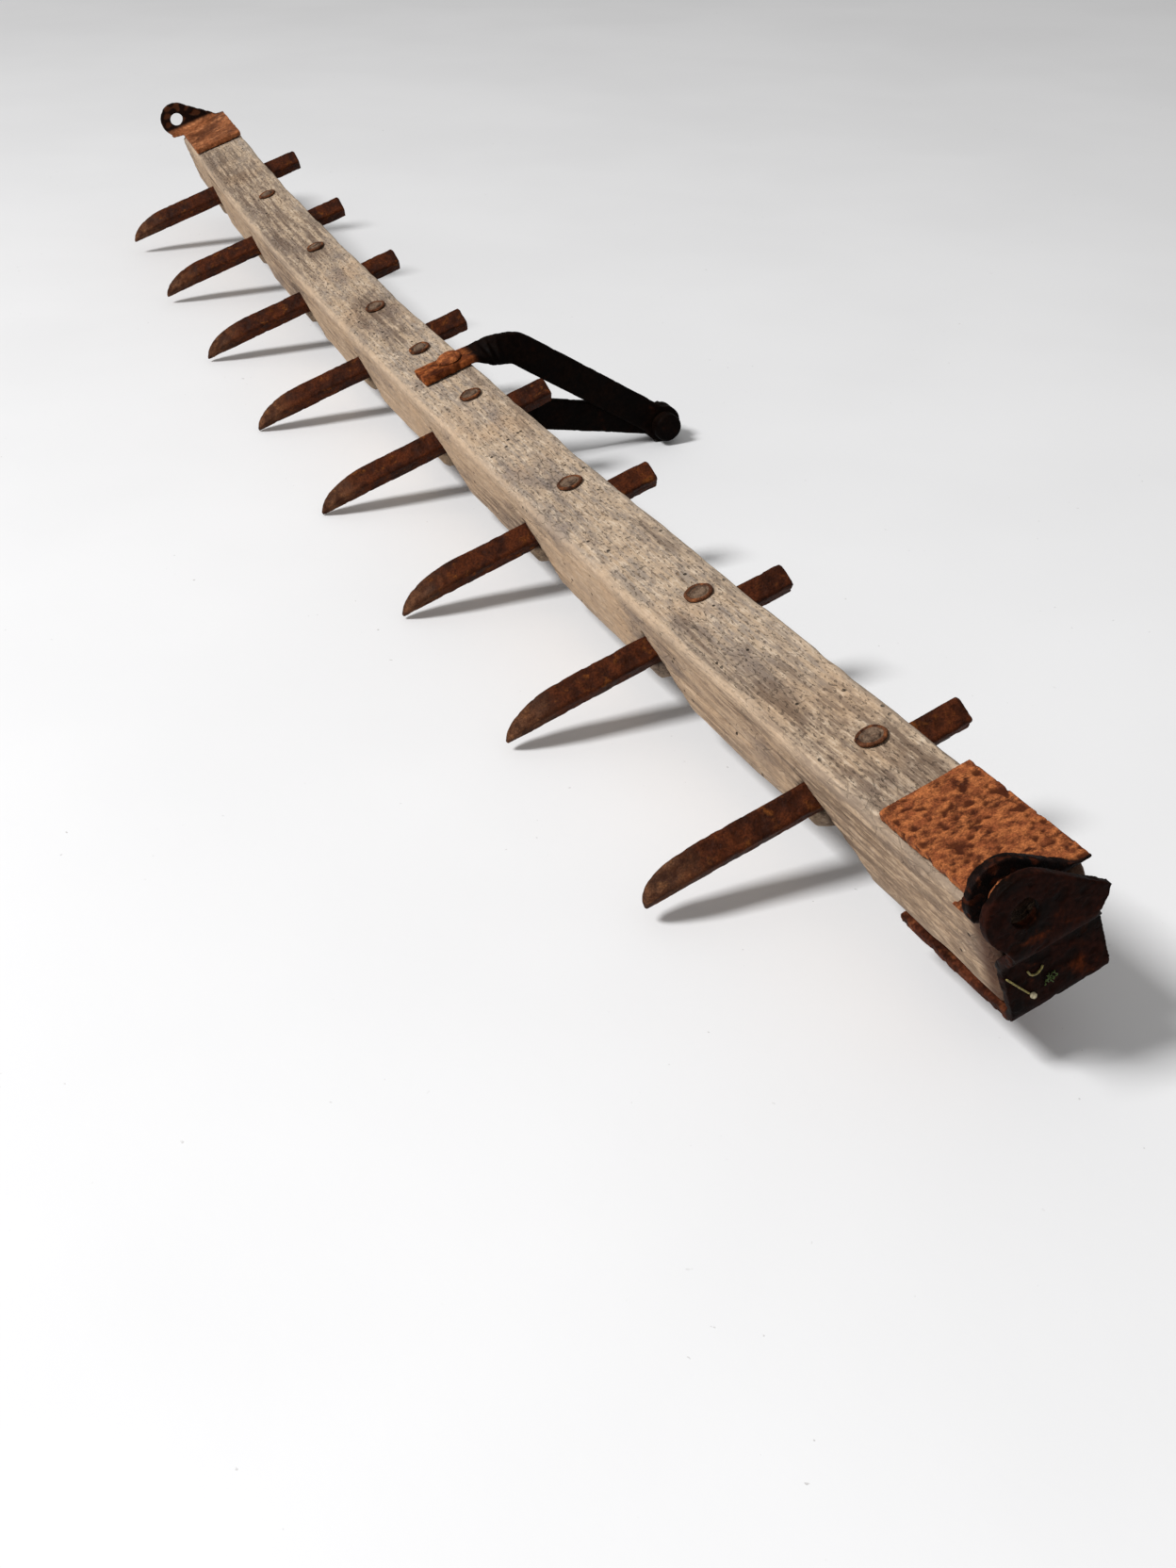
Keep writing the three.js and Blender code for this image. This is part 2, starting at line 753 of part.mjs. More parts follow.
// At rest the bar leans on its tooth points and on the round end of the bracket.
function restingLean() {
  const across = sideFace + pointReach + linkReach;
  const rise = linkDrop - toothDrop - lowestCorner(toothSide / 2);
  return -Math.asin(linkEyeRadius / Math.hypot(across, rise)) - Math.atan2(rise, across);
}

row.rotation.x = restingLean();
const box = new THREE.Box3().setFromObject(row, true);
row.position.set(-(box.min.x + box.max.x) / 2, -(box.min.y + box.max.y) / 2, -box.min.z);

const harrowBar = new THREE.Group();
harrowBar.add(row);

export default harrowBar;
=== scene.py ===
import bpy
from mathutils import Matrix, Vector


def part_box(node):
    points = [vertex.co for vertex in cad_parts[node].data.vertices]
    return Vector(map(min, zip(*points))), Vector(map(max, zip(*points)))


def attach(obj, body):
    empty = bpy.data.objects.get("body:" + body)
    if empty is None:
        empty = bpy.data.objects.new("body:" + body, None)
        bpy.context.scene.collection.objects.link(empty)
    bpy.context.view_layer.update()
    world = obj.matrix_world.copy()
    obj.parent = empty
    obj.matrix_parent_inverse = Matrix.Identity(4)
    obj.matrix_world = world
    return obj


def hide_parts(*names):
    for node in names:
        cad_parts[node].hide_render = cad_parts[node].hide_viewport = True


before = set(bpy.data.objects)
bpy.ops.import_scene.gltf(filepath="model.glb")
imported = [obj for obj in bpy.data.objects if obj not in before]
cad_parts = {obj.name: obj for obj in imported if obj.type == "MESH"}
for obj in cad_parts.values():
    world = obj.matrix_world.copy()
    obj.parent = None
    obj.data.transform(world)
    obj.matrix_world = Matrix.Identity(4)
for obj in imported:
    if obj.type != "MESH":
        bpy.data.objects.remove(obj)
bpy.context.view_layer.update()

import math
import random

import bmesh
import bpy
import numpy as np
from mathutils import Matrix, Vector, noise

# The line of the warped bar: where its own frame stands, and how far its ends leave a straight line.
barLine = {
    "place": (0.026995, 0.042126, 0.057424),
    "lean": -18.9598,  # degrees about X
    "halfRow": 0.686,  # from the middle to an outer tooth
    "backForkEnd": 0.0075,
    "backLugEnd": 0.0167,
    "rise": 0.0072,
    "forkEnd": -0.860,
    "lugEnd": 0.822,
}
leanTurn = Matrix.Rotation(math.radians(barLine["lean"]), 4, "X")
leanMatrix = Matrix.Translation(barLine["place"]) @ leanTurn
toothPlaces = [barLine["halfRow"] * (2 * i / 7 - 1) for i in range(8)]


def bowAt(x):
    half = barLine["halfRow"]
    share = abs(x) / half
    back = barLine["backForkEnd"] if x < 0 else barLine["backLugEnd"]
    bend = share * share if share < 1 else 2 * share - 1
    slope = math.copysign(2 * min(share, 1) / half, x)
    return -back * bend, barLine["rise"] * bend, -back * slope, barLine["rise"] * slope


def stationMatrix(x):
    y, z, slopeY, slopeZ = bowAt(x)
    along = Vector((1, slopeY, slopeZ)).normalized()
    across = (Vector((0, 1, 0)) - along * along.y).normalized()
    up = along.cross(across)
    turn = Matrix((along, across, up)).transposed().to_4x4()
    return leanMatrix @ Matrix.Translation((x, y, z)) @ turn


# A point's place along, across and above the straightened bar.
def straightPlaces(points):
    turn = np.array(leanMatrix.inverted())
    local = points @ turn[:3, :3].T + turn[:3, 3]
    half = barLine["halfRow"]
    x = local[:, 0]
    share = np.abs(x) / half
    bend = np.where(share < 1, share * share, 2 * share - 1)
    back = np.where(x < 0, barLine["backForkEnd"], barLine["backLugEnd"])
    return np.stack([x, local[:, 1] + back * bend, local[:, 2] - barLine["rise"] * bend], axis=1)


# Mesh helpers.
def meshObject(name, verts, faces, smooth=True):
    mesh = bpy.data.meshes.new(name)
    mesh.from_pydata([tuple(v) for v in verts], [], faces)
    mesh.polygons.foreach_set("use_smooth", [smooth] * len(mesh.polygons))
    mesh.update()
    piece = bpy.data.objects.new(name, mesh)
    bpy.context.scene.collection.objects.link(piece)
    return piece


def pointsOf(mesh):
    flat = np.empty(len(mesh.vertices) * 3)
    mesh.vertices.foreach_get("co", flat)
    return flat.reshape(-1, 3)


def normalsOf(mesh):
    flat = np.empty(len(mesh.vertices) * 3)
    mesh.vertices.foreach_get("normal", flat)
    return flat.reshape(-1, 3)


def storePoints(mesh, points):
    mesh.vertices.foreach_set("co", points.ravel())
    mesh.update()


def storeVector(mesh, name, values):
    made = mesh.attributes.new(name, "FLOAT_VECTOR", "POINT")
    made.data.foreach_set("vector", values.astype(float).ravel())


def storeMask(mesh, name, values):
    made = mesh.attributes.new(name, "FLOAT", "POINT")
    made.data.foreach_set("value", values.astype(float))


def noiseAt(points, scale, seed=0.0):
    scale = np.broadcast_to(np.array(scale, dtype=float), (3,))
    moved = points * scale + seed
    return np.array([noise.noise(Vector(p)) for p in moved])


def smoothStep(low, high, values):
    share = np.clip((values - low) / (high - low), 0, 1)
    return share * share * (3 - 2 * share)


def finishPiece(piece, body, slotName, material, *nodes):
    piece.data.materials.clear()
    piece.data.materials.append(material)
    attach(piece, body)
    if nodes:
        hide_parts(*nodes)


# Shader helpers.
def addNode(tree, kind, values=None, **settings):
    node = tree.nodes.new(kind)
    for key, value in settings.items():
        setattr(node, key, value)
    for name, value in (values or {}).items():
        socket = node.inputs[name]
        if isinstance(value, bpy.types.NodeSocket):
            tree.links.new(value, socket)
        else:
            socket.default_value = value
    return node


def newGroup(name, inputs, outputs):
    tree = bpy.data.node_groups.new(name, "ShaderNodeTree")
    for label, kind, value in inputs:
        socket = tree.interface.new_socket(label, in_out="INPUT", socket_type=kind)
        if value is not None:
            socket.default_value = value
    for label, kind in outputs:
        tree.interface.new_socket(label, in_out="OUTPUT", socket_type=kind)
    return tree, tree.nodes.new("NodeGroupInput"), tree.nodes.new("NodeGroupOutput")


def useGroup(tree, group, values):
    node = tree.nodes.new("ShaderNodeGroup")
    node.node_tree = group
    for name, value in values.items():
        if isinstance(value, bpy.types.NodeSocket):
            tree.links.new(value, node.inputs[name])
        else:
            node.inputs[name].default_value = value
    return node


def noiseNode(tree, vector, scale, detail=4.0, roughness=0.55):
    values = {"Vector": vector, "Scale": scale, "Detail": detail, "Roughness": roughness}
    return addNode(tree, "ShaderNodeTexNoise", values).outputs["Fac"]


def stretched(tree, vector, scale, move=(0, 0, 0)):
    values = {"Vector": vector, "Scale": scale, "Location": move}
    return addNode(tree, "ShaderNodeMapping", values).outputs["Vector"]


def ranged(tree, value, low, high, toLow=0.0, toHigh=1.0):
    values = {"Value": value, "From Min": low, "From Max": high, "To Min": toLow, "To Max": toHigh}
    return addNode(tree, "ShaderNodeMapRange", values, interpolation_type="SMOOTHSTEP").outputs["Result"]


def mathNode(tree, operation, first, second=0.0):
    return addNode(tree, "ShaderNodeMath", {0: first, 1: second}, operation=operation).outputs[0]


def mixed(tree, factor, first, second, blend="MIX"):
    values = {0: factor, 6: first, 7: second}
    return addNode(tree, "ShaderNodeMix", values, data_type="RGBA", blend_type=blend).outputs[2]


def attributeNode(tree, name):
    return addNode(tree, "ShaderNodeAttribute", attribute_name=name, attribute_type="GEOMETRY")


def newMaterial(name):
    material = bpy.data.materials.new(name)
    material.use_nodes = True
    return material, material.node_tree, material.node_tree.nodes["Principled BSDF"]


def rgb(red, green, blue):
    def linear(c):
        c /= 255
        return c / 12.92 if c <= 0.04045 else ((c + 0.055) / 1.055) ** 2.4
    return (linear(red), linear(green), linear(blue), 1.0)


def addBump(tree, shader, height, strength, distance):
    bump = addNode(tree, "ShaderNodeBump", {"Height": height, "Strength": strength, "Distance": distance})
    tree.links.new(bump.outputs["Normal"], shader.inputs["Normal"])


# Rust that every iron piece shares: a dark body, brighter bloom, grains and pits.
def buildRustPatina():
    inputs = [
        ("Place", "NodeSocketVector", None),
        ("Scale", "NodeSocketFloat", 60.0),
        ("Dark", "NodeSocketColor", (0.01, 0.006, 0.005, 1)),
        ("Middle", "NodeSocketColor", (0.08, 0.03, 0.015, 1)),
        ("Bright", "NodeSocketColor", (0.35, 0.12, 0.03, 1)),
        ("Bright Amount", "NodeSocketFloat", 0.3),
        ("Pit Amount", "NodeSocketFloat", 0.4),
    ]
    outputs = [("Color", "NodeSocketColor"), ("Roughness", "NodeSocketFloat"), ("Height", "NodeSocketFloat")]
    tree, given, result = newGroup("rustPatina", inputs, outputs)
    place, scale = given.outputs["Place"], given.outputs["Scale"]
    cloud = noiseNode(tree, place, scale, 6.0, 0.62)
    moved = stretched(tree, place, (1.3, 0.9, 1.1), (3.1, 1.7, 0.4))
    bloom = noiseNode(tree, moved, mathNode(tree, "MULTIPLY", scale, 1.7), 5.0, 0.6)
    grit = noiseNode(tree, place, mathNode(tree, "MULTIPLY", scale, 11.0), 3.0, 0.6)
    pitNoise = noiseNode(tree, moved, mathNode(tree, "MULTIPLY", scale, 4.5), 2.0, 0.5)
    body = mixed(tree, ranged(tree, cloud, 0.36, 0.62), given.outputs["Dark"], given.outputs["Middle"])
    edge = mathNode(tree, "SUBTRACT", 0.78, mathNode(tree, "MULTIPLY", given.outputs["Bright Amount"], 0.5))
    over = mathNode(tree, "SUBTRACT", bloom, edge)
    bloomMask = ranged(tree, over, -0.08, 0.14)
    body = mixed(tree, bloomMask, body, given.outputs["Bright"])
    grains = ranged(tree, grit, 0.3, 0.75, 0.62, 1.4)
    body = mixed(tree, 1.0, body, grains, "MULTIPLY")
    pits = mathNode(tree, "MULTIPLY", ranged(tree, pitNoise, 0.56, 0.66), given.outputs["Pit Amount"])
    body = mixed(tree, pits, body, given.outputs["Dark"])
    rough = mathNode(tree, "ADD", cloud, mathNode(tree, "MULTIPLY", bloomMask, 0.3))
    rough = ranged(tree, rough, 0.3, 0.9, 0.5, 0.95)
    height = mathNode(tree, "SUBTRACT", mathNode(tree, "MULTIPLY", grit, 0.45), pits)
    height = mathNode(tree, "ADD", height, mathNode(tree, "MULTIPLY", bloomMask, 0.25))
    tree.links.new(body, result.inputs["Color"])
    tree.links.new(rough, result.inputs["Roughness"])
    tree.links.new(height, result.inputs["Height"])
    return tree


rustPatina = buildRustPatina()


def rustMaterial(name, look):
    material, tree, shader = newMaterial(name)
    place = addNode(tree, "ShaderNodeTexCoord").outputs["Object"]
    patina = useGroup(tree, rustPatina, {
        "Place": place,
        "Scale": look["scale"],
        "Dark": look["dark"],
        "Middle": look["middle"],
        "Bright": look["bright"],
        "Bright Amount": look["brightAmount"],
        "Pit Amount": look["pitAmount"],
    })
    color, rough, height = (patina.outputs[key] for key in ("Color", "Roughness", "Height"))
    if "paintedShadeAndWear" in look:  # the masked part gets a second set of colours: painted shade on the raised strap ear and the lug plate, the rust's own colour on the cover and bracket feet, worn tooth points and paler rivet heads
        mask = attributeNode(tree, "paintedShadeAndWearMask").outputs["Fac"]
        darker = useGroup(tree, rustPatina, {
            "Place": place,
            "Scale": look["scale"] * 1.4,
            "Dark": look["paintedShadeAndWear"]["dark"],
            "Middle": look["paintedShadeAndWear"]["middle"],
            "Bright": look["paintedShadeAndWear"]["bright"],
            "Bright Amount": look["paintedShadeAndWear"]["brightAmount"],
            "Pit Amount": look["pitAmount"],
        })
        color = mixed(tree, mask, color, darker.outputs["Color"])
    # painted shade in the rust pits: the pit mask darkens the colour towards the dark rust
    pitted = mathNode(tree, "MULTIPLY", attributeNode(tree, "pit").outputs["Fac"], look.get("paintedPitShade", 0.5))
    color = mixed(tree, pitted, color, look["dark"])
    tree.links.new(color, shader.inputs["Base Color"])
    tree.links.new(rough, shader.inputs["Roughness"])
    shader.inputs["Specular IOR Level"].default_value = look.get("specular", 0.06)
    addBump(tree, shader, height, look["bump"], 0.0006)
    return material


# Camera.
cameraLook = {
    "place": (-1.3933, 0.4938, 0.5659),
    "down": 30.85,  # degrees below the horizon
    "heading": -112.71,
    "lens": 43.42,
}


def makeCamera(look):
    camera = bpy.data.objects.new("camera", bpy.data.cameras.new("camera"))
    bpy.context.scene.collection.objects.link(camera)
    camera.location = look["place"]
    camera.rotation_euler = (math.radians(90 - look["down"]), 0, math.radians(look["heading"]))
    camera.data.sensor_width = 36
    camera.data.lens = look["lens"]
    camera.data.clip_start = 0.02
    bpy.context.scene.camera = camera


makeCamera(cameraLook)
print("camera placed")

# Floor and light.
studioLook = {
    "floorSize": 14.0,
    "floorColor": rgb(236, 236, 237),
    "windowPlace": (-0.75, 3.1, 3.7),
    "windowAim": (0.0, 0.0, 0.0),
    "windowSize": 1.15,
    "windowPower": 218.0,
    "skyPower": 0.38,
}


def makeFloor(look):
    half = look["floorSize"] / 2
    corners = [(-half, -half, 0), (half, -half, 0), (half, half, 0), (-half, half, 0)]
    floor = meshObject("floor", corners, [(0, 1, 2, 3)], smooth=False)
    material, tree, shader = newMaterial("paleFloor")
    place = addNode(tree, "ShaderNodeTexCoord").outputs["Object"]
    soft = noiseNode(tree, place, 2.5, 3.0)
    base = look["floorColor"]
    dim = tuple(c * 0.96 for c in base[:3]) + (1,)
    color = mixed(tree, ranged(tree, soft, 0.3, 0.7), base, dim)
    dust = noiseNode(tree, place, 190.0, 2.0, 0.5)
    far = noiseNode(tree, place, 9.0, 2.0)
    speck = mathNode(tree, "MULTIPLY", ranged(tree, dust, 0.735, 0.76), ranged(tree, far, 0.5, 0.62))
    color = mixed(tree, mathNode(tree, "MULTIPLY", speck, 0.4), color, rgb(120, 112, 104))
    tree.links.new(color, shader.inputs["Base Color"])
    shader.inputs["Roughness"].default_value = 0.7
    addBump(tree, shader, noiseNode(tree, place, 60.0, 4.0), 0.05, 0.002)
    floor.data.materials.append(material)


def makeLights(look):
    data = bpy.data.lights.new("window", "AREA")
    data.energy = look["windowPower"]
    data.size = look["windowSize"]
    window = bpy.data.objects.new("window", data)
    window.location = look["windowPlace"]
    aim = Vector(look["windowAim"]) - Vector(look["windowPlace"])
    window.rotation_euler = aim.to_track_quat("-Z", "Y").to_euler()
    bpy.context.scene.collection.objects.link(window)
    world = bpy.data.worlds.new("studio")
    world.use_nodes = True
    world.node_tree.nodes["Background"].inputs["Color"].default_value = (1.0, 0.995, 0.985, 1)
    world.node_tree.nodes["Background"].inputs["Strength"].default_value = look["skyPower"]
    bpy.context.scene.world = world
    bpy.context.scene.view_settings.view_transform = "Standard"


makeFloor(studioLook)
makeLights(studioLook)
print("floor and light ready")

# Wooden bar.
woodShape = {
    "width": 0.057,
    "depth": 0.0585,
    "cornerRadius": 0.0045,
    "rings": 540,
    "around": 160,
    "wave": 0.0007,
    "ridge": 0.00035,
    "cornerChip": 0.0017,
    "notchDepth": 0.0075,  # broken out below each tooth, towards the fork end
    "notchLength": 0.048,
    "grooveDepth": 0.0018,  # runs up from each tooth, towards the lug end
    "grooveLength": 0.085,
    "backShare": 0.45,
    "crackDepth": 0.003,
    "crackWidth": 0.0009,
    "fineRidge": 0.00025,
    "toothGapDepth": 0.0020,
    "toothDrop": -0.00475,
    "endShrink": 0.0034,  # how far the edges of the ends are worn in, and over what length
    "endWear": 0.006,
    "endSteps": 22,
}
# Each split: the face it is on, its place across that face, where it starts and ends along the bar,
# and its strength.
woodSplits = [
    ("side", 0.011, -0.80, -0.69, 0.5),
    ("side", -0.004, -0.645, -0.50, 0.6),
    ("side", 0.013, -0.37, -0.24, 0.5),
    ("side", -0.006, -0.06, 0.09, 0.6),
    ("side", 0.010, 0.33, 0.48, 0.5),
    ("top", 0.020, -0.62, -0.53, 0.3),
    ("top", -0.017, -0.22, -0.10, 0.35),
    ("top", 0.019, 0.14, 0.25, 0.3),
    ("top", -0.020, 0.42, 0.52, 0.35),
    ("back", 0.005, -0.80, -0.35, 1.0),
    ("back", -0.012, -0.20, 0.30, 0.9),
    ("back", 0.010, 0.35, 0.80, 1.0),
    ("under", 0.006, -0.74, -0.20, 1.0),
    ("under", -0.010, -0.05, 0.55, 1.0),
]


def woodOutline(shape):
    corners = []
    radius = shape["cornerRadius"]
    halfY, halfZ = shape["width"] / 2 - radius, shape["depth"] / 2 - radius
    for sideY, sideZ, start in ((1, -1, -90), (1, 1, 0), (-1, 1, 90), (-1, -1, 180)):
        for i in range(9):
            angle = math.radians(start + 90 * i / 8)
            outY, outZ = radius * math.cos(angle), radius * math.sin(angle)
            corners.append((sideY * halfY + outY, sideZ * halfZ + outZ))
    corners = np.array(corners + corners[:1])
    steps = np.hypot(*np.diff(corners, axis=0).T)
    travelled = np.concatenate([[0], np.cumsum(steps)])
    wanted = np.linspace(0, travelled[-1], shape["around"], endpoint=False)
    return np.stack([np.interp(wanted, travelled, corners[:, k]) for k in (0, 1)], axis=1)


def outlineNormals(outline):
    ahead, behind = np.roll(outline, -1, axis=0), np.roll(outline, 1, axis=0)
    along = ahead - behind
    along /= np.hypot(*along.T)[:, None]
    return np.stack([along[:, 1], -along[:, 0]], axis=1)


# How far each point of the bar's skin is worn in, and the masks that colour it.
def woodWear(shape, places):
    x, y, z = places.T
    halfY, halfZ = shape["width"] / 2, shape["depth"] / 2
    depth = shape["wave"] * (0.6 + noiseAt(places, (7, 26, 26), 3.1))
    depth += shape["ridge"] * (0.5 + noiseAt(places, (5, 230, 230), 7.7))
    depth += shape["fineRidge"] * (0.5 + noiseAt(places, (28, 420, 420), 1.3))
    cornerGap = np.hypot(halfY - np.abs(y), halfZ - np.abs(z))
    whichCorner = np.sign(y) * 3.0 + np.sign(z) * 11.0
    chip = noiseAt(np.stack([x * 16, whichCorner, x * 0], axis=1), 1.0, 0.5)
    chip += 0.5 * noiseAt(np.stack([x * 60, whichCorner, x * 0], axis=1), 1.0, 9.5)
    nearCorner = np.exp(-((cornerGap / 0.0065) ** 2))
    depth += shape["cornerChip"] * nearCorner * np.clip(0.25 + 1.1 * chip, 0, 1.4)
    gapRing = np.zeros(len(x))
    onSide = smoothStep(halfY - 0.009, halfY - 0.002, y)
    onBack = smoothStep(halfY - 0.009, halfY - 0.002, -y)
    for place in toothPlaces:
        around = np.abs(x - place) + np.abs(z - shape["toothDrop"])
        ring = smoothStep(0.0158, 0.0124, around) * (onSide + onBack)
        gapRing = np.maximum(gapRing, ring)
    depth += shape["toothGapDepth"] * gapRing
    crack = np.zeros(len(x))
    wander = 0.0011 * noiseAt(np.stack([x * 9, x * 0, x * 0], axis=1), 1.0, 4.4)
    facing = {
        "side": (z, y > halfY - 0.004),
        "back": (z, y < -halfY + 0.004),
        "top": (y, z > halfZ - 0.004),
        "under": (y, z < -halfZ + 0.004),
    }
    for face, offset, start, end, strength in woodSplits:
        across, onFace = facing[face]
        taper = strength * smoothStep(start, start + 0.04, x) * smoothStep(end, end - 0.05, x)
        width = shape["crackWidth"] * (0.35 + taper)
        line = np.exp(-(((across - offset - wander) / width) ** 2)) * taper * onFace
        crack = np.maximum(crack, line)
    depth += shape["crackDepth"] * crack
    masks = {
        "gapRing": np.clip(gapRing, 0, 1),
        "crack": crack,
        "corner": nearCorner,
    }
    return np.clip(depth, 0.0001, None), masks


# How deep the side of the bar is broken away at each point: a notch below every tooth on its
# fork side, and a groove that climbs from it the other way.
def breakout(shape, x, z):
    notch = np.zeros(len(x))
    groove = np.zeros(len(x))
    ragged = noiseAt(np.stack([x * 55, z * 60, x * 0], axis=1), 1.0, 6.2)
    for i, place in enumerate(toothPlaces):
        wobble = 1 + 0.25 * math.sin(i * 2.4 + 1)
        away = -(x - place + 0.004) / (shape["notchLength"] * wobble)
        edge = 0.006 - 0.033 * away + 0.003 * ragged
        inNotch = smoothStep(edge + 0.0008, edge - 0.0022, z) * smoothStep(-0.16, 0.0, away)
        notch = np.maximum(notch, inNotch * smoothStep(1.0, 0.25, away) * (0.8 + 0.25 * wobble))
        along = (x - place - 0.006) / (shape["grooveLength"] * wobble)
        line = 0.005 + 0.021 * along + 0.0015 * ragged
        inGroove = np.exp(-(((z - line) / 0.0026) ** 2))
        inGroove += 0.55 * smoothStep(line, line - 0.003, z) * smoothStep(line - 0.028, line - 0.012, z)
        groove = np.maximum(groove, inGroove * smoothStep(-0.08, 0.04, along) * smoothStep(1.0, 0.3, along))
    return shape["notchDepth"] * notch + shape["grooveDepth"] * groove, notch


# Moves the points near one side inwards, and those behind them a little less, so that nothing folds.
def pressSide(places, side, depth, halfY):
    outward = side * places[:, 1]
    band = np.maximum(2.6 * depth, 1e-6)
    places[:, 1] -= side * depth * smoothStep(0, 1, (outward - halfY + band) / band)


def makeWoodenBar(shape, material):
    outline = woodOutline(shape)
    normals = outlineNormals(outline)
    count, rings = len(outline), shape["rings"]
    xs = np.linspace(barLine["forkEnd"], barLine["lugEnd"], rings)
    fromEnd = np.minimum(xs - xs[0], xs[-1] - xs)
    shrink = shape["endShrink"] * (1 - smoothStep(0, shape["endWear"], fromEnd))
    places = np.empty((rings, count, 3))
    places[:, :, 0] = xs[:, None]
    places[:, :, 1:] = outline[None]
    flat = places.reshape(-1, 3)
    depth, masks = woodWear(shape, flat)
    depth = depth.reshape(rings, count) + shrink[:, None]
    worn = places.copy()
    worn[:, :, 1:] -= depth[:, :, None] * normals[None]
    flatWorn = worn.reshape(-1, 3)
    broken, notch = breakout(shape, flat[:, 0], flat[:, 2])
    pressSide(flatWorn, 1, broken, shape["width"] / 2)
    pressSide(flatWorn, -1, shape["backShare"] * broken, shape["width"] / 2)
    # the notch mask is kept for the painted shade in the notches
    masks["paintedNotchShade"] = np.clip(notch, 0, 1) * smoothStep(0.006, 0.016, np.abs(flat[:, 1]))
    verts = []
    for r in range(rings):
        turn = np.array(stationMatrix(xs[r]))
        local = worn[r].copy()
        local[:, 0] = 0
        verts.append(local @ turn[:3, :3].T + turn[:3, 3])
    verts = np.concatenate(verts)
    straight = worn.reshape(-1, 3)
    faces = []
    for r in range(rings - 1):
        start = r * count
        for i in range(count):
            j = (i + 1) % count
            faces.append((start + i, start + j, start + count + j, start + count + i))
    endMask = np.zeros(len(verts))
    for ring, side in ((0, -1), (rings - 1, 1)):
        skin = (verts, straight, endMask, faces)
        verts, straight, endMask, faces = capEnd(skin, ring * count, count, side, shape["endSteps"])
    bar = meshObject("weatheredBar", verts, faces)
    storeVector(bar.data, "barPlace", straight)
    for name, values in masks.items():
        padded = np.concatenate([values, np.zeros(len(verts) - len(values))])
        storeMask(bar.data, name, padded)
    storeMask(bar.data, "endGrain", endMask)
    finishPiece(bar, "harrow_bar", "weathered_wood", material, "wooden_bar")


# Closes an end of the bar with rings that shrink to its middle, slightly cupped and checked.
def capEnd(skin, first, count, side, steps):
    verts, straight, endMask, faces = skin
    edge = list(range(first, first + count))
    ringWorld, ringStraight = verts[first:first + count], straight[first:first + count]
    centreWorld, centreStraight = ringWorld.mean(axis=0), ringStraight.mean(axis=0)
    inward = np.array(leanMatrix.to_3x3() @ Vector((-side, 0, 0)))
    for step in range(1, steps):
        share = step / steps
        world = centreWorld + (ringWorld - centreWorld) * (1 - share)
        flat = centreStraight + (ringStraight - centreStraight) * (1 - share)
        acrossEnd = np.stack([flat[:, 1] * 90, flat[:, 2] * 25, flat[:, 0] * 0], axis=1)
        checks = np.abs(noiseAt(acrossEnd, 1.0, 2.0))
        sunk = 0.0012 * smoothStep(0.12, 0.0, checks) + 0.0003 * (1 + noiseAt(flat, 300, 8.0))
        world = world + inward * sunk[:, None]
        start = len(verts)
        verts, straight = np.concatenate([verts, world]), np.concatenate([straight, flat])
        endMask = np.concatenate([endMask, np.ones(count)])
        ring = list(range(start, start + count))
        for i in range(count):
            j = (i + 1) % count
            quad = (edge[i], edge[j], ring[j], ring[i])
            faces.append(quad[::-1] if side < 0 else quad)
        edge = ring
    middle = len(verts)
    verts = np.concatenate([verts, [centreWorld + inward * 0.0004]])
    straight = np.concatenate([straight, [centreStraight]])
    endMask = np.concatenate([endMask, [1.0]])
    for i in range(count):
        j = (i + 1) % count
        fan = (edge[i], edge[j], middle)
        faces.append(fan[::-1] if side < 0 else fan)
    return verts, straight, endMask, faces


woodLook = {
    "pale": rgb(205, 187, 166),
    "tan": rgb(176, 153, 128),
    "grey": rgb(146, 132, 119),
    "brown": rgb(120, 98, 76),
    "dark": rgb(70, 56, 46),
    "black": rgb(26, 18, 13),
    "sideTan": rgb(184, 152, 120),
    "stain": rgb(104, 93, 90),
    "deep": rgb(104, 84, 68),
    "rustStain": rgb(70, 42, 28),
}


def scaled(tree, value, factor):
    return mathNode(tree, "MULTIPLY", value, factor)


